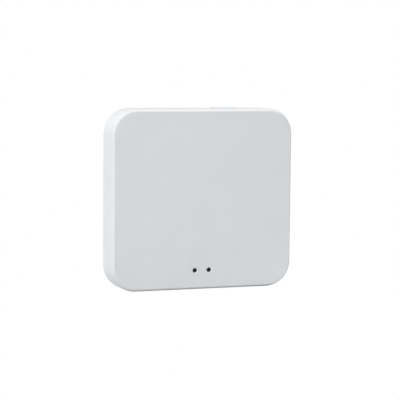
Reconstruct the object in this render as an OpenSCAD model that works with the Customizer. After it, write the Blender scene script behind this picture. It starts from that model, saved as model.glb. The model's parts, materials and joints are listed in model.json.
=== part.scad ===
// Smart home hub: a thin rounded-square slab that stands on its lower edge or lies on four rubber feet.
// Millimetres. X runs to the right seen from the front, Z runs up, the front face looks towards -Y.
// The origin is the middle of the footprint, at the lowest point of the case.

/* [Case] */
// Width across the side bands
case_w = 63.5; // [60:0.5:70]
// Height from the lower to the upper edge
case_h = 60; // [58:0.5:66]
// Depth from the front face to the back of the case, without the feet
case_d = 10.5; // [10.5:0.1:11.5]
// Corner radius seen from the front
corner_r = 8.5; // [7.5:0.1:10]
// How far the front face's outline sits inside the side bands
rolloff_in = 0.9; // [0.6:0.05:1.1]
// Depth behind the front face over which the side band rolls inwards
rolloff_depth = 2.4; // [2:0.1:3.6]
// Rounding of the crease round the front face
crease_r = 0.3; // [0.2:0.05:0.4]
// Rounding of the case's rear edge
back_round = 0.8; // [0.4:0.1:1]
// Thickness of the side walls
wall = 1.8; // [1.6:0.1:2]
// Thickness of the front wall
face_t = 1.5; // [1.3:0.1:1.6]
// Thickness of the rear cover
rear_t = 1.4; // [1.3:0.1:1.5]

/* [Status lights] */
// Diameter of the two holes in the face
led_hole_d = 1.5; // [1.2:0.05:1.8]
// Distance between the two holes
led_pitch = 4.95; // [4:0.05:7]
// Middle of the pair, measured from the case's centre line
led_mid_x = -0.45; // [-2:0.05:2]
// Height of the holes above the lower edge
led_z = 6.5; // [6:0.05:9]

/* [Reset button] */
// Length of the button along the upper edge
button_len = 8.6; // [7:0.1:9]
// Thickness of the button
button_t = 3.0; // [2.4:0.1:3.2]
// Distance of the button's middle from the case's centre line
button_x = 8.6; // [7:0.1:14]
// How far the button stands above the case
button_proud = 0.35; // [0.3:0.05:0.5]
// Travel of the button and of the switch under it
button_travel = 0.3; // [0.2:0.05:0.3]

/* [Power inlet] */
// Height of the inlet's middle above the lower edge
usb_z = 30; // [26:0.5:34]
// Width of the inlet's metal shell
usb_w = 9.0; // [8.94:0.01:9]
// Height of the inlet's metal shell above the board
usb_t = 3.2; // [3.1:0.05:3.3]
// Length of the inlet's metal shell
usb_len = 7.3; // [7:0.1:7.6]

/* [Main board] */
// Thickness of the main board
board_t = 1.2; // [1:0.1:1.6]
// Space between the front wall and the main board
board_gap = 1.4; // [1.2:0.1:1.6]
// Space round the edge of the main board
board_edge_gap = 1.35; // [1:0.05:2]

/* [Feet] */
// Diameter of a rubber foot
foot_d = 6.4; // [5:0.1:7]
// How far a foot stands behind the rear cover
foot_proud = 0.5; // [0.3:0.1:0.8]
// Distance of each case screw and its foot from the centre line
post_x = 24; // [23:0.1:24.5]
// Distance of each case screw and its foot from the nearer edge of the case
post_inset = 7.5; // [7.2:0.1:8.5]

/* [Hidden] */
$fn = 64;
eps = 0.5;          // how far a cutter runs past the face that it opens
bite = 0.01;        // how far joined shapes run into each other

// Places through the depth, measured towards the front from the middle of the whole footprint
front = (case_d + foot_proud) / 2;
back = front - case_d;
face_in = front - face_t;
rear_in = back + rear_t;
board_front = face_in - board_gap;
board_back = board_front - board_t;

// Side band: a large arc that meets the wall smoothly and the face at a crease
rolloff_r = (pow(rolloff_depth, 2) + pow(rolloff_in, 2)) / (2 * rolloff_in);
crease_run = sqrt(pow(rolloff_r - crease_r, 2) - pow(rolloff_depth - crease_r, 2));
crease_turn = atan2(rolloff_depth - crease_r, crease_run);

// Rear cover in its opening
cover_gap = 0.12;
cavity_r = corner_r - wall;
cover_chamfer = 0.25;

// Posts for the case screws
post_zs = [post_inset, case_h - post_inset];
post_foot_r = 3.2;
post_r = 2.1;
boss_r = 3.0;
boss_h = 1.2;
boss_end = rear_in + boss_h;
foot_pocket = 0.5;
foot_gap = 0.2;
foot_chamfer = 0.2;
case_screw = [0.97, 5.0, 1.8, 1.0];      // shank radius, shank length, head radius, head height
screw_hole_r = 1.0;
screw_clear_r = 1.15;
head_gap = 0.2;
seat_t = 1.0;                            // material of the rear cover under a screw's head
head_seat = boss_end - seat_t;
post_hole_end = board_front - 0.4;

// Screws that hold the board to the front cover
board_screw = [0.82, 3.0, 1.5, 1.0];
board_screw_at = [[-24.8, 33], [24.8, 42.5]];
board_post_r = 2.2;
board_screw_hole_r = 0.86;
board_hole_r = 1.0;
screw_tip_gap = 0.2;
recess_slot = [1.2, 0.4, 0.5];           // cross recess: length over the head's radius, width, depth

// Status lights: light pipe and diode
pipe_recess = 0.3;
pipe_gap = 0.03;
pipe_flange_r = 1.3;
pipe_flange_t = 0.6;
hole_chamfer = 0.25;
led_size = [1.6, 0.8, 0.25];
led_lens = [1.1, 0.8, 0.35];

// Reset button and the switch that it presses
switch_size = [6.0, 3.4, 3.6];           // along X, through the depth, along the push
button_y = -board_back + switch_size[1] / 2;
button_gap = 0.15;                       // gap round the button in the upper wall
button_crown = [0.7, 0.25];              // how far the crowned rim reaches in from the side and down
crown_r = (pow(button_crown[0], 2) + pow(button_crown[1], 2)) / (2 * button_crown[1]);
button_top = case_h + button_proud;
wall_in_top = case_h - wall;
flange_gap = 0.1;
flange_t = 0.75;
flange_grow = 0.95;
nub_r = 1.1;
nub_h = 0.4;
contact_gap = 0.05;
switch_cover_t = 0.25;
switch_side_t = 0.35;
frame_t = 0.2;
frame_arm = 2.6;                         // how far the metal frame's arms reach down the switch
terminal = [0.7, 0.2, 0.9];
terminal_x = 2.2;
plunger_top = wall_in_top - flange_gap - flange_t - nub_h - contact_gap;
plunger_r = 1.0;
plunger_gap = 0.12;
plunger_rise = button_travel + 0.35;
switch_top = plunger_top - plunger_rise;
plunger_base = [1.9, 1.15];              // radius and height of the part inside the switch
cavity_depth = 1.85;
switch_cavity_r = 2.1;
dome_r = 1.75;
dome_rise = 0.5;
dome_t = 0.08;
dome_w = switch_size[1] - 0.9;           // width through the depth of the dome and of the plunger's foot
dome_floor = switch_top - switch_cover_t - cavity_depth;

// Power inlet
usb_mouth_x = case_w / 2 - 0.85;
usb_back_x = usb_mouth_x - usb_len;
usb_wall = 0.3;
usb_y = -board_back + usb_t / 2;
usb_opening = [usb_w + 0.5, usb_t + 0.6];
usb_block = 2.0;
tongue = [4.6, 6.7, 0.7];
contact_count = 12;
contact_pitch = 0.5;
contact_size = [4.2, 0.25, 0.05];
contact_tail = [0.8, 0.15];
tab = [1.1, 0.3, 1.9];
tab_at = [0.6, 3.4];
tab_slot_gap = 0.2;

// Board outline
board_w = case_w - 2 * (wall + board_edge_gap);
board_low = wall + board_edge_gap;
board_h = case_h - 2 * (wall + board_edge_gap);
board_corner = 5.5;
board_post_gap = 0.15;

// Modules and chips: middle of each on the board as X and Z
module_t = 0.8;
shield_t = 0.2;
wifi_at = [-10, 45];
wifi_size = [18, 20];
wifi_can = [15.6, 13.0, 2.1];
wifi_can_shift = 2.6;
wifi_die = [5, 5, 0.9];
zigbee_at = [-14, 20];
zigbee_size = [17, 14];
zigbee_can = [10.6, 12.0, 1.8];
zigbee_can_shift = 2.6;
zigbee_die = [5, 5, 0.85];
antenna_size = [2.0, 5.0, 1.1];
antenna_edge = 2;
pad_pitch = 1.5;
pad_r = 0.3;
lead_t = 0.15;
controller_at = [6, 31];
controller_size = [7, 7, 1.2];
controller_lead_n = 12;
controller_pitch = 0.5;
controller_lead = [0.7, 0.22];           // rise and width
flash_at = [-7, 31];
flash_size = [4.9, 3.9, 1.4];
flash_pitch = 1.27;
flash_lead = [0.8, 0.4];
chip_lift = 0.1;
lead_reach = 1.0;
regulator_at = [18, 18];
regulator_size = [6.5, 3.5, 1.5];
regulator_pitch = 2.3;
regulator_lead = [1.6, 0.9, 0.7];        // reach, rise and width
regulator_tab_w = 3.0;
inductor_at = [14, 41];
inductor_size = [5, 5, 2.2];
inductor_dish = [3.9, 0.2];              // diameter and depth of the round dish in its top
bulk_at = [19.5, 35.5];
bulk_size = [3.5, 2.8, 1.9];
crystal_at = [5, 22];
crystal_size = [3.2, 2.5, 0.8];
crystal_step = 0.25;                     // how far the lid stands in from the base
fuse_at = [18.5, 29.5];
fuse_size = [3.2, 1.6, 0.6];
capacitor_size = [2.0, 1.25, 0.9];
capacitor_at = [
    [14, 34.6], [10, 45], [12.5, 24], [13, 18], [23, 13], [0.4, 19], [-1.6, 27], [1.2, 42]
];
resistor_size = [1.6, 0.8, 0.45];
resistor_at = [
    [0.4, 37.4], [3.2, 37.4], [6, 37.4], [8.8, 37.4], [-2.4, 13], [0.6, 13], [3.6, 13], [9, 18], [1.6, 48]
];

// Label
label_size = [34, 22];
label_r = 1.5;
label_t = 0.12;
label_pocket = 0.15;
label_gap = 0.15;

// ---- helpers ----------------------------------------------------------------------------------

// Stands up a shape that was drawn lying on its back: its Y becomes Z and its Z points to the front
module upright() {
    rotate([90, 0, 0]) children();
}

// Places a shape on the back of the main board: its Z points away from the board, its X stays X
module on_board(at, lift = 0) {
    translate([at[0], -board_back + lift, at[1]]) rotate([-90, 0, 0]) children();
}

// A box with its middle over the origin and its underside at zero
module block(size) {
    translate([-size[0] / 2, -size[1] / 2, 0]) cube(size);
}

// Flat outline with two round ends
module stadium(length, width) {
    square([length - width, width], center = true);
    for (side = [-1, 1])
        translate([side * (length - width) / 2, 0]) circle(d = width);
}

// Sweeps a half section round a rounded rectangle that stands on the X axis.
// The section's X counts from a corner's centre outwards, up to r, and its Y becomes Z.
module swept(w, h, r, low, high) {
    for (corner = [0:3]) {
        side_x = (corner == 0 || corner == 3) ? 1 : -1;
        run = (corner % 2 == 0) ? h - 2 * r : w - 2 * r;
        translate([side_x * (w / 2 - r), corner < 2 ? h - r : r, 0])
            rotate([0, 0, 90 * corner]) {
                rotate_extrude(angle = 90) children();
                if (run > 0.01)
                    rotate([90, 0, 0]) linear_extrude(run) children();
            }
    }
    if (w - 2 * r > 0.01 && h - 2 * r > 0.01)
        translate([r - w / 2, r, low]) cube([w - 2 * r, h - 2 * r, high - low]);
}

// Solid with straight sides on a rounded rectangle that stands on the X axis
module rounded_slab(w, h, r, low, high) {
    swept(w, h, r, low, high) translate([0, low]) square([r, high - low]);
}

// A screw that points to +Z, with its head's underside at zero and a cross recess
module screw(spec) {
    difference() {
        union() {
            cylinder(r = spec[0], h = spec[1]);
            translate([0, 0, -spec[3]]) cylinder(r = spec[2], h = spec[3]);
        }
        for (turn = [0, 90])
            rotate([0, 0, turn]) translate([0, 0, -spec[3] - eps])
                block([spec[2] * recess_slot[0], recess_slot[1], recess_slot[2] + eps]);
    }
}

// A gull-wing lead that leaves a package along +X
module gull_lead(reach, rise, width) {
    knee = reach / 2;
    rotate([90, 0, 0]) linear_extrude(width, center = true)
        polygon([
            [0, rise], [knee, rise], [knee, lead_t], [reach, lead_t],
            [reach, 0], [knee - lead_t, 0], [knee - lead_t, rise - lead_t], [0, rise - lead_t]
        ]);
}

// A pressed metal can, open towards the board
module can(size) {
    difference() {
        block(size);
        translate([0, 0, -shield_t])
            block([size[0] - 2 * shield_t, size[1] - 2 * shield_t, size[2]]);
    }
}

// A radio module's own board, with half-round plated pads along two long edges
module radio_board(size) {
    count = floor((size[1] - 3) / pad_pitch);
    difference() {
        block([size[0], size[1], module_t]);
        for (side = [-1, 1], i = [0:count])
            translate([side * size[0] / 2, (i - count / 2) * pad_pitch, -eps])
                cylinder(r = pad_r, h = module_t + 2 * eps, $fn = 24);
    }
}

// ---- case -------------------------------------------------------------------------------------

// Half section of the case: wall, arc towards the face, crease and rear rounding
module case_section() {
    difference() {
        translate([0, back]) square([corner_r, case_d]);
        difference() {
            translate([corner_r - rolloff_in - eps, front - rolloff_depth])
                square([rolloff_in + 2 * eps, rolloff_depth + eps]);
            translate([corner_r - rolloff_r, front - rolloff_depth]) circle(r = rolloff_r, $fn = 180);
        }
        translate([corner_r - rolloff_r + crease_run, front - crease_r]) difference() {
            polygon([
                [0, 0], [0, 4 * crease_r], [4 * crease_r, 4 * crease_r],
                4 * crease_r * [cos(crease_turn), sin(crease_turn)]
            ]);
            circle(r = crease_r);
        }
        difference() {
            translate([corner_r - back_round, back - eps]) square([back_round + eps, back_round + eps]);
            translate([corner_r - back_round, back + back_round]) circle(r = back_round);
        }
    }
}

// Front shell: face, side bands, posts for both kinds of screw, and every opening
module front_cover() {
    color("white") difference() {
        union() {
            upright() difference() {
                swept(case_w, case_h, corner_r, back, front) case_section();
                translate([0, wall, 0])
                    rounded_slab(case_w - 2 * wall, case_h - 2 * wall, cavity_r, back - eps, face_in);
            }
            upright() case_posts();
            upright() board_posts();
        }
        upright() case_post_holes();
        upright() board_post_holes();
        upright() led_holes();
        button_opening();
        usb_case_opening();
    }
}

module case_posts() {
    for (side = [-1, 1], z = post_zs) {
        translate([side * post_x, z, board_front])
            cylinder(r = post_foot_r, h = face_in - board_front + bite);
        translate([side * post_x, z, boss_end])
            cylinder(r = post_r, h = board_front - boss_end + bite);
    }
}

module case_post_holes() {
    for (side = [-1, 1], z = post_zs)
        translate([side * post_x, z, boss_end - eps])
            cylinder(r = screw_hole_r, h = post_hole_end - boss_end + eps);
}

module board_posts() {
    for (at = board_screw_at)
        translate([at[0], at[1], board_front])
            cylinder(r = board_post_r, h = face_in - board_front + bite);
}

module board_post_holes() {
    for (at = board_screw_at)
        translate([at[0], at[1], board_front - eps])
            cylinder(r = board_screw_hole_r, h = board_screw[1] - board_t + screw_tip_gap + eps);
}

module led_holes() {
    for (side = [-1, 1])
        translate([led_mid_x + side * led_pitch / 2, led_z, 0]) {
            translate([0, 0, face_in - eps]) cylinder(d = led_hole_d, h = face_t + 2 * eps);
            translate([0, 0, front - hole_chamfer])
                cylinder(r1 = led_hole_d / 2, r2 = led_hole_d / 2 + 2 * hole_chamfer, h = 2 * hole_chamfer);
        }
}

module button_opening() {
    translate([button_x, button_y, wall_in_top - eps])
        linear_extrude(wall + 2 * eps) stadium(button_len + 2 * button_gap, button_t + 2 * button_gap);
}

module usb_case_opening() {
    translate([case_w / 2 - wall - eps, usb_y, usb_z])
        rotate([0, 90, 0]) linear_extrude(wall + 2 * eps) stadium(usb_opening[0], usb_opening[1]);
}

// Rear cover: a plate let into the back of the front shell, with four screw bosses
module rear_cover() {
    inset = wall + cover_gap;
    cover_w = case_w - 2 * inset;
    cover_h = case_h - 2 * inset;
    cover_r = corner_r - inset;
    color("whitesmoke") upright() difference() {
        union() {
            translate([0, inset, 0]) swept(cover_w, cover_h, cover_r, back, rear_in)
                polygon([
                    [0, back], [cover_r - cover_chamfer, back], [cover_r, back + cover_chamfer],
                    [cover_r, rear_in], [0, rear_in]
                ]);
            for (side = [-1, 1], z = post_zs)
                translate([side * post_x, z, rear_in - bite]) cylinder(r = boss_r, h = boss_h + bite);
        }
        for (side = [-1, 1], z = post_zs)
            translate([side * post_x, z, 0]) {
                translate([0, 0, back - eps]) cylinder(d = foot_d + 2 * foot_gap, h = foot_pocket + eps);
                translate([0, 0, back]) cylinder(r = case_screw[2] + head_gap, h = head_seat - back);
                translate([0, 0, back]) cylinder(r = screw_clear_r, h = boss_end - back + eps);
            }
        translate([0, case_h / 2 - label_size[1] / 2, 0])
            rounded_slab(label_size[0], label_size[1], label_r, back - eps, back + label_pocket);
    }
}

module rubber_feet() {
    color("dimgray") upright() for (side = [-1, 1], z = post_zs)
        translate([side * post_x, z, 0]) {
            translate([0, 0, back - foot_proud + foot_chamfer])
                cylinder(d = foot_d, h = foot_proud - foot_chamfer + foot_pocket);
            translate([0, 0, back - foot_proud])
                cylinder(d1 = foot_d - 2 * foot_chamfer, d2 = foot_d, h = foot_chamfer);
        }
}

module rating_label() {
    w = label_size[0] - 2 * label_gap;
    h = label_size[1] - 2 * label_gap;
    color("silver") upright() translate([0, (case_h - h) / 2, 0])
        rounded_slab(w, h, label_r - label_gap, back + label_pocket - label_t, back + label_pocket);
}

module case_screws() {
    color("gray") upright() for (side = [-1, 1], z = post_zs)
        translate([side * post_x, z, head_seat]) screw(case_screw);
}

// ---- reset button and switch ------------------------------------------------------------------

// Half section of the button: straight side, then a rim that curves up to the flat top
module button_section() {
    r = button_t / 2;
    low = wall_in_top - flange_gap - flange_t / 2;
    difference() {
        translate([0, low]) square([r, button_top - low]);
        difference() {
            translate([r - button_crown[0], button_top - button_crown[1]])
                square([button_crown[0] + eps, button_crown[1] + eps]);
            translate([r - button_crown[0], button_top - crown_r]) circle(r = crown_r, $fn = 180);
        }
    }
}

module reset_button() {
    flange_top = wall_in_top - flange_gap;
    color("white") translate([button_x, button_y, 0]) {
        translate([0, -button_t / 2, 0]) swept(button_len, button_t, button_t / 2, 0, 0) button_section();
        translate([0, 0, flange_top - flange_t]) linear_extrude(flange_t)
            stadium(button_len + 2 * flange_grow, button_t + 2 * flange_grow);
        translate([0, 0, plunger_top + contact_gap])
            cylinder(r = nub_r, h = flange_top - flange_t / 2 - plunger_top - contact_gap);
    }
}

module switch_body() {
    w = switch_size[0];
    t = switch_size[1];
    h = switch_size[2];
    top = switch_top - switch_cover_t;
    color("dimgray") difference() {
        translate([button_x - w / 2, button_y - t / 2, top - h]) cube([w, t, h]);
        translate([button_x, button_y, dome_floor])
            intersection() {
                cylinder(r = switch_cavity_r, h = cavity_depth + eps);
                translate([-w / 2, switch_side_t - t / 2, 0]) cube([w, t - 2 * switch_side_t, h]);
            }
    }
}

module switch_frame() {
    w = switch_size[0];
    t = switch_size[1];
    top = switch_top - switch_cover_t;
    color("silver") difference() {
        union() {
            translate([button_x - w / 2 - frame_t, button_y - t / 2 + frame_t / 2, top])
                cube([w + 2 * frame_t, t - frame_t, switch_cover_t]);
            for (arm_x = [-w / 2 - frame_t, w / 2])
                translate([button_x + arm_x, button_y - t / 2, top - frame_arm])
                    cube([frame_t, t - 2 * frame_t, frame_arm + switch_cover_t]);
        }
        translate([button_x, button_y, top - eps])
            cylinder(r = plunger_r + plunger_gap, h = switch_cover_t + 2 * eps);
    }
}

// Snap dome: a thin cap of a sphere that the plunger flattens
module switch_dome() {
    cap_r = (pow(dome_r, 2) + pow(dome_rise, 2)) / (2 * dome_rise);
    color("gold") translate([button_x, button_y, dome_floor]) intersection() {
        translate([0, 0, dome_rise - cap_r]) difference() {
            sphere(r = cap_r);
            sphere(r = cap_r - dome_t);
        }
        cylinder(r = dome_r, h = dome_rise + eps);
        block([2 * dome_r + 2 * eps, dome_w, dome_rise + eps]);
    }
}

module switch_plunger() {
    base_low = dome_floor + dome_rise + contact_gap;
    color("black") translate([button_x, button_y, 0]) {
        translate([0, 0, base_low]) intersection() {
            cylinder(r = plunger_base[0], h = plunger_base[1]);
            block([2 * plunger_base[0], dome_w, plunger_base[1]]);
        }
        translate([0, 0, base_low + plunger_base[1] / 2])
            cylinder(r = plunger_r, h = plunger_top - base_low - plunger_base[1] / 2);
    }
}

module switch_terminals() {
    low = switch_top - switch_cover_t - switch_size[2];
    color("silver") for (side = [-1, 1])
        translate([button_x + side * terminal_x - terminal[0] / 2, -board_back, low - terminal[2]])
            cube(terminal);
}

// ---- power inlet ------------------------------------------------------------------------------

// Draws a flat outline across the inlet and pulls it along X
module usb_extrude(from_x, length) {
    translate([from_x, usb_y, usb_z]) rotate([0, 90, 0]) linear_extrude(length) children();
}

module usb_tabs(grow) {
    for (side = [-1, 1], along = tab_at)
        translate([
            usb_back_x + along - grow,
            -board_back - tab[2] / 2 - grow,
            usb_z + side * (usb_w - tab[1]) / 2 - tab[1] / 2 - grow
        ])
            cube([tab[0] + 2 * grow, usb_t / 2 + tab[2] / 2 + grow, tab[1] + 2 * grow]);
}

module usb_shell() {
    color("silver") {
        difference() {
            union() {
                usb_extrude(usb_back_x, usb_len) stadium(usb_w, usb_t);
                usb_tabs(0);
            }
            usb_extrude(usb_back_x - eps, usb_len + 2 * eps)
                stadium(usb_w - 2 * usb_wall, usb_t - 2 * usb_wall);
        }
    }
}

module usb_tongue() {
    color("black") {
        usb_extrude(usb_back_x, usb_block) stadium(usb_w - 2 * usb_wall, usb_t - 2 * usb_wall);
        usb_extrude(usb_back_x + usb_block - bite, tongue[0]) square([tongue[1], tongue[2]], center = true);
    }
}

module usb_contacts() {
    low_y = usb_y - tongue[2] / 2 - contact_size[2];
    high_y = usb_y + tongue[2] / 2;
    color("gold") for (i = [0:contact_count - 1]) {
        z = usb_z + (i - (contact_count - 1) / 2) * contact_pitch - contact_size[1] / 2;
        for (y = [low_y, high_y])
            translate([usb_back_x + usb_block, y, z])
                cube([contact_size[0], contact_size[2], contact_size[1]]);
        translate([usb_back_x - contact_tail[0], -board_back, z])
            cube([contact_tail[0], contact_tail[1], contact_size[1]]);
    }
}

// ---- status lights ----------------------------------------------------------------------------

module light_pipe(x) {
    color("black") upright() translate([x, led_z, 0]) {
        translate([0, 0, face_in - bite])
            cylinder(d = led_hole_d - 2 * pipe_gap, h = face_t - pipe_recess + bite);
        translate([0, 0, face_in - pipe_flange_t]) cylinder(r = pipe_flange_r, h = pipe_flange_t);
    }
}

module status_led(x) {
    color("ivory") upright() translate([x, led_z, board_front]) {
        block(led_size);
        block([led_lens[0], led_lens[1], led_size[2] + led_lens[2]]);
    }
}

module left_light_pipe() { light_pipe(led_mid_x - led_pitch / 2); }
module right_light_pipe() { light_pipe(led_mid_x + led_pitch / 2); }
module left_status_led() { status_led(led_mid_x - led_pitch / 2); }
module right_status_led() { status_led(led_mid_x + led_pitch / 2); }

// ---- main board -------------------------------------------------------------------------------

module main_board() {
    color("seagreen") difference() {
        upright() translate([0, board_low, 0])
            rounded_slab(board_w, board_h, board_corner, board_back, board_front);
        upright() for (side = [-1, 1], z = post_zs)
            translate([side * post_x, z, board_back - eps])
                cylinder(r = post_r + board_post_gap, h = board_t + 2 * eps);
        upright() for (at = board_screw_at)
            translate([at[0], at[1], board_back - eps]) cylinder(r = board_hole_r, h = board_t + 2 * eps);
        usb_tabs(tab_slot_gap);
    }
}

module board_screws() {
    color("gray") upright() for (at = board_screw_at)
        translate([at[0], at[1], board_back]) screw(board_screw);
}

// ---- radio modules ----------------------------------------------------------------------------

module wifi_board() {
    color("darkslategray") on_board(wifi_at) radio_board(wifi_size);
}

module wifi_chip() {
    color("black") on_board(wifi_at, module_t) translate([0, wifi_can_shift, 0]) block(wifi_die);
}

module wifi_shield() {
    color("silver") on_board(wifi_at, module_t) translate([0, wifi_can_shift, 0]) can(wifi_can);
}

module zigbee_board() {
    color("darkslategray") on_board(zigbee_at) rotate([0, 0, 90])
        radio_board([zigbee_size[1], zigbee_size[0]]);
}

module zigbee_chip() {
    color("black") on_board(zigbee_at, module_t) translate([zigbee_can_shift, 0, 0]) block(zigbee_die);
}

module zigbee_shield() {
    color("silver") on_board(zigbee_at, module_t) translate([zigbee_can_shift, 0, 0]) can(zigbee_can);
}

module zigbee_antenna() {
    color("ivory") on_board(zigbee_at, module_t)
        translate([antenna_edge - zigbee_size[0] / 2, 0, 0]) block(antenna_size);
}

// ---- chips and power parts --------------------------------------------------------------------

module controller_chip() {
    color("black") on_board(controller_at, chip_lift) block(controller_size);
}

module controller_leads() {
    color("silver") on_board(controller_at)
        for (turn = [0:90:270], i = [0:controller_lead_n - 1])
            rotate([0, 0, turn])
                translate([controller_size[0] / 2, (i - (controller_lead_n - 1) / 2) * controller_pitch, 0])
                    gull_lead(lead_reach, controller_lead[0], controller_lead[1]);
}

module flash_chip() {
    color("black") on_board(flash_at, chip_lift) block(flash_size);
}

module flash_leads() {
    color("silver") on_board(flash_at)
        for (turn = [90, 270], i = [0:3])
            rotate([0, 0, turn])
                translate([flash_size[1] / 2, (i - 1.5) * flash_pitch, 0])
                    gull_lead(lead_reach, flash_lead[0], flash_lead[1]);
}

module voltage_regulator() {
    color("black") on_board(regulator_at, chip_lift) block(regulator_size);
}

// Three leads on the lower side and one wide tab on the upper side
module regulator_leads() {
    color("silver") on_board(regulator_at) {
        for (i = [-1:1])
            rotate([0, 0, 90])
                translate([regulator_size[1] / 2, i * regulator_pitch, 0])
                    gull_lead(regulator_lead[0], regulator_lead[1], regulator_lead[2]);
        rotate([0, 0, 270]) translate([regulator_size[1] / 2, 0, 0])
            gull_lead(regulator_lead[0], regulator_lead[1], regulator_tab_w);
    }
}

module power_inductor() {
    color("dimgray") on_board(inductor_at) difference() {
        block(inductor_size);
        translate([0, 0, inductor_size[2] - inductor_dish[1]])
            cylinder(d = inductor_dish[0], h = inductor_dish[1] + eps);
    }
}

module bulk_capacitor() {
    color("goldenrod") on_board(bulk_at) block(bulk_size);
}

module ceramic_capacitors() {
    color("tan") for (at = capacitor_at) on_board(at) block(capacitor_size);
}

module chip_resistors() {
    color("black") for (at = resistor_at) on_board(at) block(resistor_size);
}

module crystal() {
    color("silver") on_board(crystal_at) {
        block([crystal_size[0], crystal_size[1], crystal_size[2] / 2]);
        block([crystal_size[0] - 2 * crystal_step, crystal_size[1] - 2 * crystal_step, crystal_size[2]]);
    }
}

module input_fuse() {
    color("darkolivegreen") on_board(fuse_at) block(fuse_size);
}

front_cover();
rear_cover();
reset_button();
main_board();
switch_body();
switch_frame();
switch_dome();
switch_plunger();
switch_terminals();
usb_shell();
usb_tongue();
usb_contacts();
left_light_pipe();
right_light_pipe();
left_status_led();
right_status_led();
wifi_board();
wifi_chip();
wifi_shield();
zigbee_board();
zigbee_chip();
zigbee_shield();
zigbee_antenna();
controller_chip();
controller_leads();
flash_chip();
flash_leads();
voltage_regulator();
regulator_leads();
power_inductor();
bulk_capacitor();
ceramic_capacitors();
chip_resistors();
crystal();
input_fuse();
board_screws();
case_screws();
rubber_feet();
rating_label();
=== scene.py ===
"""Looks of the smart home hub: a material for every slot, the snap dome, studio and camera. Metres."""
import json
import math

import bmesh
import bpy
from mathutils import Matrix, Vector


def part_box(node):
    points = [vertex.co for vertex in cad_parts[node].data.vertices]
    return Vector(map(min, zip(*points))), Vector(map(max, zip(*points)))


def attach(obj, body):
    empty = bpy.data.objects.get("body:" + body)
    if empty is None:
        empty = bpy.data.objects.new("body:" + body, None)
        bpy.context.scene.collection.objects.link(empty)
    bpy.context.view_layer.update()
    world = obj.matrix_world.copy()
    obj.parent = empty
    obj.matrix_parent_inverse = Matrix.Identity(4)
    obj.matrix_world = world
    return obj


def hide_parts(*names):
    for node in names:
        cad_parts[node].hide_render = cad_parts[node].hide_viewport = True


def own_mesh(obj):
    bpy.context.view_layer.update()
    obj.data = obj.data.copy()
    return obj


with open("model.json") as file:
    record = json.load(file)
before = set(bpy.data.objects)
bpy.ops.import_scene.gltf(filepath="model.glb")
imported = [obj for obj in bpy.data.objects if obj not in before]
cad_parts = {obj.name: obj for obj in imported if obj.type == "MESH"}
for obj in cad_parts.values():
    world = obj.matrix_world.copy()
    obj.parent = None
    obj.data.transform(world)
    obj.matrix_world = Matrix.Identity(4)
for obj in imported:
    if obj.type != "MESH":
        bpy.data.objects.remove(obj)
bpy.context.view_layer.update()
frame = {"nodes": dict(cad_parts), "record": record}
NODES = frame["nodes"]
SLOT_OF = {row["node"]: row["material_slot"] for row in frame["record"]["subparts"]}
MM = 0.001


# ---- materials --------------------------------------------------------------------------------

NOISE_LOW = 0.3                          # nearly all of a noise texture lies between these two
NOISE_HIGH = 0.7
NOISE_DETAIL = 3                         # octaves of the noise in colour and polish

PLASTIC_IOR = 1.5
CLOUD_SIZE = 9 * MM                      # faint clouds in a moulding's colour
POLISH_SIZE = 2.5 * MM                   # and in its polish
POLISH_SPREAD = 0.03
WAVE_SIZE = 7 * MM                       # slow waviness of a moulded wall
WAVE_DEPTH = 0.004 * MM

SHEET_CLOUD_SIZE = 1.5 * MM
SHEET_CLOUD_SPREAD = 0.05
SHEET_POLISH_SIZE = 0.5 * MM
SHEET_POLISH_SPREAD = 0.07
ROLLING_MARKS = 0.25 * MM


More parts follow.
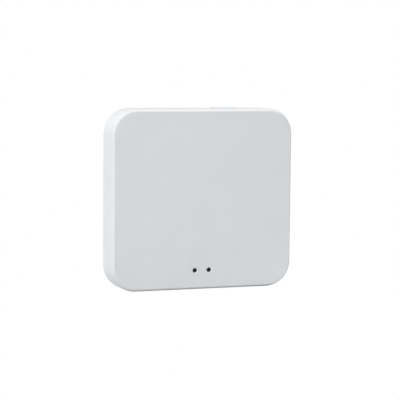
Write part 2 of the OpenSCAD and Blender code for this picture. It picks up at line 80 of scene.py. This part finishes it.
class Shader:
    """A Principled material whose colour, roughness and relief are built from node textures."""

    def __init__(self, name, colour, roughness, **sockets):
        self.material = bpy.data.materials.new(name)
        self.material.use_nodes = True
        self.tree = self.material.node_tree
        self.surface = self.tree.nodes["Principled BSDF"]
        self.colour = colour
        self.roughness = roughness
        self.surface.inputs["Base Color"].default_value = (*colour, 1)
        self.surface.inputs["Roughness"].default_value = roughness
        for socket, value in sockets.items():
            self.surface.inputs[socket.replace("_", " ")].default_value = value
        self.coordinates = self.tree.nodes.new("ShaderNodeTexCoord").outputs["Object"]
        self.normal = None

    def node(self, kind, **settings):
        made = self.tree.nodes.new(kind)
        for key, value in settings.items():
            if key in made.inputs:
                made.inputs[key].default_value = value
            else:
                setattr(made, key, value)
        return made

    def link(self, output, socket):
        self.tree.links.new(output, socket)

    def noise(self, size, detail=2.0, stretch=(1, 1, 1)):
        """A noise texture whose features are about size metres across, shorter along a stretched axis."""
        place = self.node("ShaderNodeMapping")
        place.inputs["Scale"].default_value = stretch
        self.link(self.coordinates, place.inputs["Vector"])
        texture = self.node("ShaderNodeTexNoise", Scale=1 / size, Detail=detail)
        self.link(place.outputs["Vector"], texture.inputs["Vector"])
        return texture.outputs["Fac"]

    def ramp(self, value, low, high, dark, light):
        """Spreads a value between low and high over two colours."""
        made = self.node("ShaderNodeValToRGB")
        made.color_ramp.elements[0].position = low
        made.color_ramp.elements[1].position = high
        made.color_ramp.elements[0].color = (*dark, 1)
        made.color_ramp.elements[1].color = (*light, 1)
        self.link(value, made.inputs["Fac"])
        return made.outputs["Color"]

    def vary_colour(self, size, spread, stretch=(1, 1, 1)):
        """Cloudy variation of the base colour, by a share of it either way."""
        dark = [c * (1 - spread) for c in self.colour]
        light = [min(1, c * (1 + spread)) for c in self.colour]
        clouds = self.noise(size, NOISE_DETAIL, stretch)
        colour = self.ramp(clouds, NOISE_LOW, NOISE_HIGH, dark, light)
        self.link(colour, self.surface.inputs["Base Color"])
        return self

    def vary_roughness(self, size, spread, stretch=(1, 1, 1)):
        """Uneven polish."""
        spot = self.node("ShaderNodeMapRange")
        spot.inputs["From Min"].default_value = NOISE_LOW
        spot.inputs["From Max"].default_value = NOISE_HIGH
        spot.inputs["To Min"].default_value = self.roughness - spread
        spot.inputs["To Max"].default_value = self.roughness + spread
        self.link(self.noise(size, NOISE_DETAIL, stretch), spot.inputs["Value"])
        self.link(spot.outputs["Result"], self.surface.inputs["Roughness"])
        return self

    def relief(self, size, depth, stretch=(1, 1, 1), detail=2.0):
        """Fine bumps, depth metres high. Each call adds to the ones before."""
        bump = self.node("ShaderNodeBump", Strength=1.0, Distance=depth)
        self.link(self.noise(size, detail, stretch), bump.inputs["Height"])
        if self.normal is not None:
            self.link(self.normal, bump.inputs["Normal"])
        self.normal = bump.outputs["Normal"]
        self.link(self.normal, self.surface.inputs["Normal"])
        return self


def moulded(name, colour, roughness, grain=0.16 * MM, depth=0.003 * MM, spread=0.012, gloss=0.5):
    """Injection-moulded plastic: spark-eroded grain, faint clouds in colour and polish."""
    shader = Shader(name, colour, roughness, IOR=PLASTIC_IOR, Specular_IOR_Level=gloss)
    shader.vary_colour(CLOUD_SIZE, spread).vary_roughness(POLISH_SIZE, POLISH_SPREAD)
    shader.relief(grain, depth).relief(WAVE_SIZE, WAVE_DEPTH, detail=1.0)
    return shader.material


def plated(name, colour, roughness, stretch, depth=0.002 * MM):
    """Rolled and plated sheet metal with marks along one direction."""
    shader = Shader(name, colour, roughness, Metallic=1.0)
    shader.vary_colour(SHEET_CLOUD_SIZE, SHEET_CLOUD_SPREAD, stretch)
    shader.vary_roughness(SHEET_POLISH_SIZE, SHEET_POLISH_SPREAD, stretch)
    shader.relief(ROLLING_MARKS, depth, stretch)
    return shader.material


def make_materials():
    """One material for each of the record's slots."""
    return {
        "case_white": moulded("case_white", (0.80, 0.815, 0.835), 0.5),
        "cover_white": moulded("cover_white", (0.78, 0.795, 0.815), 0.55, 0.22 * MM, 0.005 * MM),
        "button_white": moulded("button_white", (0.81, 0.825, 0.845), 0.38, 0.3 * MM, 0.001 * MM),
        "smoked_plastic": moulded(
            "smoked_plastic", (0.008, 0.008, 0.009), 0.35, 0.5 * MM, 0.0005 * MM, 0.2, gloss=0.3),
        "led_lens": moulded("led_lens", (0.80, 0.74, 0.42), 0.3, 0.2 * MM, 0.001 * MM, 0.06),
        "board_green": moulded("board_green", (0.02, 0.16, 0.09), 0.35, 0.4 * MM, 0.004 * MM, 0.12),
        "module_board": moulded("module_board", (0.015, 0.04, 0.06), 0.35, 0.4 * MM, 0.004 * MM, 0.12),
        "switch_black": moulded("switch_black", (0.03, 0.03, 0.032), 0.5),
        "plunger_black": moulded("plunger_black", (0.035, 0.035, 0.038), 0.4),
        "inlet_black": moulded("inlet_black", (0.02, 0.02, 0.021), 0.45),
        "chip_black": moulded("chip_black", (0.03, 0.03, 0.033), 0.6, 0.08 * MM, 0.004 * MM, 0.08),
        "ferrite_grey": moulded("ferrite_grey", (0.12, 0.12, 0.125), 0.7, 0.12 * MM, 0.008 * MM, 0.15),
        "tantalum_yellow": moulded("tantalum_yellow", (0.75, 0.42, 0.06), 0.5, 0.2 * MM, 0.003 * MM, 0.05),
        "capacitor_tan": moulded("capacitor_tan", (0.42, 0.29, 0.17), 0.55, 0.1 * MM, 0.003 * MM, 0.08),
        "resistor_black": moulded("resistor_black", (0.03, 0.03, 0.035), 0.45, 0.1 * MM, 0.003 * MM, 0.08),
        "fuse_green": moulded("fuse_green", (0.08, 0.18, 0.09), 0.5, 0.1 * MM, 0.003 * MM, 0.08),
        "antenna_ceramic": moulded("antenna_ceramic", (0.72, 0.72, 0.68), 0.55, 0.1 * MM, 0.003 * MM, 0.03),
        "label_silver": moulded("label_silver", (0.62, 0.63, 0.64), 0.42, 0.12 * MM, 0.002 * MM, 0.02),
        "foot_rubber": moulded("foot_rubber", (0.07, 0.07, 0.073), 0.85, 0.25 * MM, 0.012 * MM, 0.15),
        "steel_plate": plated("steel_plate", (0.72, 0.71, 0.69), 0.32, (1, 1, 8)),
        "dome_steel": plated("dome_steel", (0.76, 0.74, 0.68), 0.22, (1, 1, 1)),
        "tinned_leads": plated("tinned_leads", (0.74, 0.74, 0.73), 0.4, (1, 1, 1)),
        "inlet_steel": plated("inlet_steel", (0.70, 0.70, 0.69), 0.28, (1, 8, 8)),
        "contact_gold": plated("contact_gold", (0.83, 0.60, 0.22), 0.25, (1, 6, 6)),
        "shield_steel": plated("shield_steel", (0.70, 0.71, 0.71), 0.36, (8, 8, 1)),
        "screw_steel": plated("screw_steel", (0.55, 0.55, 0.55), 0.38, (3, 1, 3)),
    }


def paint(made):
    for name, node in NODES.items():
        node.data.materials.clear()
        node.data.materials.append(made[SLOT_OF[name]])


# ---- snap dome --------------------------------------------------------------------------------

DOME_SHEET = 0.08 * MM
DOME_RIM = 0.02 * MM
DIMPLE_RADIUS = 0.4 * MM
DIMPLE_DEPTH = 0.03 * MM
DOME_RINGS = 12
DOME_TURNS = 72
LEAST_SINE = 1e-6                        # keeps the trim's division away from zero


def dome_skins(radius, rise, half_width):
    """Upper and lower points of the dome's sheet, ring by ring from the middle, with its base at zero."""
    ball = (radius ** 2 + rise ** 2) / (2 * rise)
    upper, lower = [], []
    for ring in range(1, DOME_RINGS + 1):
        for turn in range(DOME_TURNS):
            angle = math.tau * turn / DOME_TURNS
            reach = min(radius, half_width / max(abs(math.sin(angle)), LEAST_SINE))
            run = reach * ring / DOME_RINGS
            dimple = DIMPLE_DEPTH * max(0, 1 - (run / DIMPLE_RADIUS) ** 2) ** 2
            height = rise - ball + math.sqrt(ball ** 2 - run ** 2) - dimple
            place = (run * math.cos(angle), run * math.sin(angle))
            upper.append((*place, max(height, DOME_RIM)))
            lower.append((*place, max(height - DOME_SHEET, 0)))
    return upper, lower


def make_snap_dome(material):
    """The switch's snap dome: a thin sprung cap with trimmed sides, which the plunger flattens."""
    low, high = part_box("switch_dome")
    base = Vector(((low.x + high.x) / 2, (low.y + high.y) / 2, low.z))
    rise = high.z - low.z
    upper, lower = dome_skins((high.x - low.x) / 2, rise, (high.y - low.y) / 2)
    mesh = bmesh.new()
    skins = []
    for points, top in ((upper, rise), (lower, rise - DOME_SHEET)):
        middle = mesh.verts.new(base + Vector((0, 0, top - DIMPLE_DEPTH)))
        skin = [mesh.verts.new(base + Vector(point)) for point in points]
        skins.append(skin)
        for turn in range(DOME_TURNS):
            after = (turn + 1) % DOME_TURNS
            mesh.faces.new((middle, skin[turn], skin[after]))
            for ring in range(DOME_RINGS - 1):
                inner, outer = ring * DOME_TURNS, (ring + 1) * DOME_TURNS
                mesh.faces.new((
                    skin[inner + turn],
                    skin[outer + turn],
                    skin[outer + after],
                    skin[inner + after],
                ))
    rims = [skin[-DOME_TURNS:] for skin in skins]
    for turn in range(DOME_TURNS):
        after = (turn + 1) % DOME_TURNS
        mesh.faces.new((rims[0][turn], rims[1][turn], rims[1][after], rims[0][after]))
    bmesh.ops.recalc_face_normals(mesh, faces=mesh.faces)
    data = bpy.data.meshes.new("snap_dome")
    mesh.to_mesh(data)
    mesh.free()
    data.materials.append(material)
    dome = bpy.data.objects.new("snap_dome", data)
    bpy.context.scene.collection.objects.link(dome)
    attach(dome, "case")
    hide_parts("switch_dome")
    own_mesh(dome)


# ---- studio -----------------------------------------------------------------------------------

CAMERA_DISTANCE = 534.28 * MM
CAMERA_YAW = math.radians(20.189)        # to the left of the face's normal
CAMERA_PITCH = math.radians(5.097)       # above the hub's middle
CAMERA_ROLL = math.radians(0.5005)
CAMERA_LENS = 144.12                     # both in millimetres
CAMERA_SENSOR = 36
CLIP_START = 0.01
CLIP_END = 20
AIM_RIGHT = 0.522 * MM                   # the camera aims this far right of and below the case's middle
AIM_DOWN = 0.591 * MM

ROOM_LIGHT = 0.386                       # radiance of the pale room round the lights
ROOM_COLOUR = (0.83, 0.91, 1.0)
FLOOR_BOUNCE = 0.8                       # how much of its light the floor gives back to the hub
FLOOR_SIZE = 16
FLOOR_ROUGHNESS = 0.9
FLOOR_CLOUD_SIZE = 0.4
FLOOR_CLOUD_SPREAD = 0.005
LIGHT_DISTANCE = 1.2
# Turn from the front, height and half width in degrees, then radiance and colour.
SOFT_LIGHTS = {
    "key": (-55, 50, 22, 4.72, (1, 0.967, 0.917)),
    "high_right": (120, 55, 22, 1.79, (1, 0.93, 0.87)),
    "low_left": (-155, 12, 22, 0.89, (1, 0.985, 0.925)),
}


def case_middle():
    low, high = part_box("front_cover")
    return (low + high) / 2


def make_camera():
    """In front of the hub, to its left and a little above it."""
    away = Vector((
        -math.sin(CAMERA_YAW) * math.cos(CAMERA_PITCH),
        -math.cos(CAMERA_YAW) * math.cos(CAMERA_PITCH),
        math.sin(CAMERA_PITCH),
    ))
    middle = case_middle()
    place = middle + away * CAMERA_DISTANCE
    level = (-away).to_track_quat("-Z", "Y").to_matrix()
    target = middle + level.col[0] * AIM_RIGHT - level.col[1] * AIM_DOWN
    turned = (target - place).to_track_quat("-Z", "Y").to_matrix() @ Matrix.Rotation(CAMERA_ROLL, 3, "Z")
    data = bpy.data.cameras.new("camera")
    data.lens = CAMERA_LENS
    data.sensor_width = CAMERA_SENSOR
    data.clip_start = CLIP_START
    data.clip_end = CLIP_END
    camera = bpy.data.objects.new("camera", data)
    camera.matrix_world = Matrix.Translation(place) @ turned.to_4x4()
    bpy.context.scene.collection.objects.link(camera)
    bpy.context.scene.camera = camera


def soft_light(name, turn, height, half_width, radiance, colour):
    """A round light that faces the hub's middle from a direction given in degrees."""
    turn, height = math.radians(turn), math.radians(height)
    towards = Vector((
        math.sin(turn) * math.cos(height),
        -math.cos(turn) * math.cos(height),
        math.sin(height),
    ))
    radius = LIGHT_DISTANCE * math.tan(math.radians(half_width))
    data = bpy.data.lights.new(name, "AREA")
    data.shape = "DISK"
    data.size = 2 * radius
    data.energy = radiance * math.pi * math.pi * radius ** 2
    data.color = colour
    light = bpy.data.objects.new(name, data)
    light.location = case_middle() + towards * LIGHT_DISTANCE
    light.rotation_euler = towards.to_track_quat("Z", "Y").to_euler()
    bpy.context.scene.collection.objects.link(light)


def make_lights():
    for name, setting in SOFT_LIGHTS.items():
        soft_light(name, *setting)


def camera_sees(tree, seen, otherwise, output):
    """Shows the camera one shader and lights the scene with another."""
    path = tree.nodes.new("ShaderNodeLightPath")
    pick = tree.nodes.new("ShaderNodeMixShader")
    tree.links.new(path.outputs["Is Camera Ray"], pick.inputs["Fac"])
    tree.links.new(otherwise, pick.inputs[1])
    tree.links.new(seen, pick.inputs[2])
    tree.links.new(pick.outputs["Shader"], output)


def make_world():
    """White to the camera, and a pale room to the hub."""
    world = bpy.data.worlds.new("studio")
    world.use_nodes = True
    bpy.context.scene.world = world
    tree = world.node_tree
    room = tree.nodes["Background"]
    room.inputs["Color"].default_value = (*ROOM_COLOUR, 1)
    room.inputs["Strength"].default_value = ROOM_LIGHT
    white = tree.nodes.new("ShaderNodeBackground")
    white.inputs["Color"].default_value = (1, 1, 1, 1)
    output = tree.nodes["World Output"].inputs["Surface"]
    camera_sees(tree, white.outputs["Background"], room.outputs["Background"], output)


def make_floor():
    """A large white floor at the height that the hub stands on."""
    bpy.ops.mesh.primitive_grid_add(x_subdivisions=2, y_subdivisions=2, size=FLOOR_SIZE, location=(0, 0, 0))
    floor = bpy.context.object
    floor.name = "floor"
    bounce = (FLOOR_BOUNCE, FLOOR_BOUNCE, FLOOR_BOUNCE)
    shader = Shader("pale_floor", bounce, FLOOR_ROUGHNESS)
    shader.vary_colour(FLOOR_CLOUD_SIZE, FLOOR_CLOUD_SPREAD)
    white = shader.node("ShaderNodeEmission")
    output = shader.tree.nodes["Material Output"].inputs["Surface"]
    camera_sees(shader.tree, white.outputs["Emission"], shader.surface.outputs["BSDF"], output)
    floor.data.materials.append(shader.material)


# ---- build ------------------------------------------------------------------------------------

bpy.context.scene.view_settings.view_transform = "Standard"
finishes = make_materials()
paint(finishes)
make_snap_dome(finishes[SLOT_OF["switch_dome"]])
make_camera()
make_lights()
make_world()
make_floor()
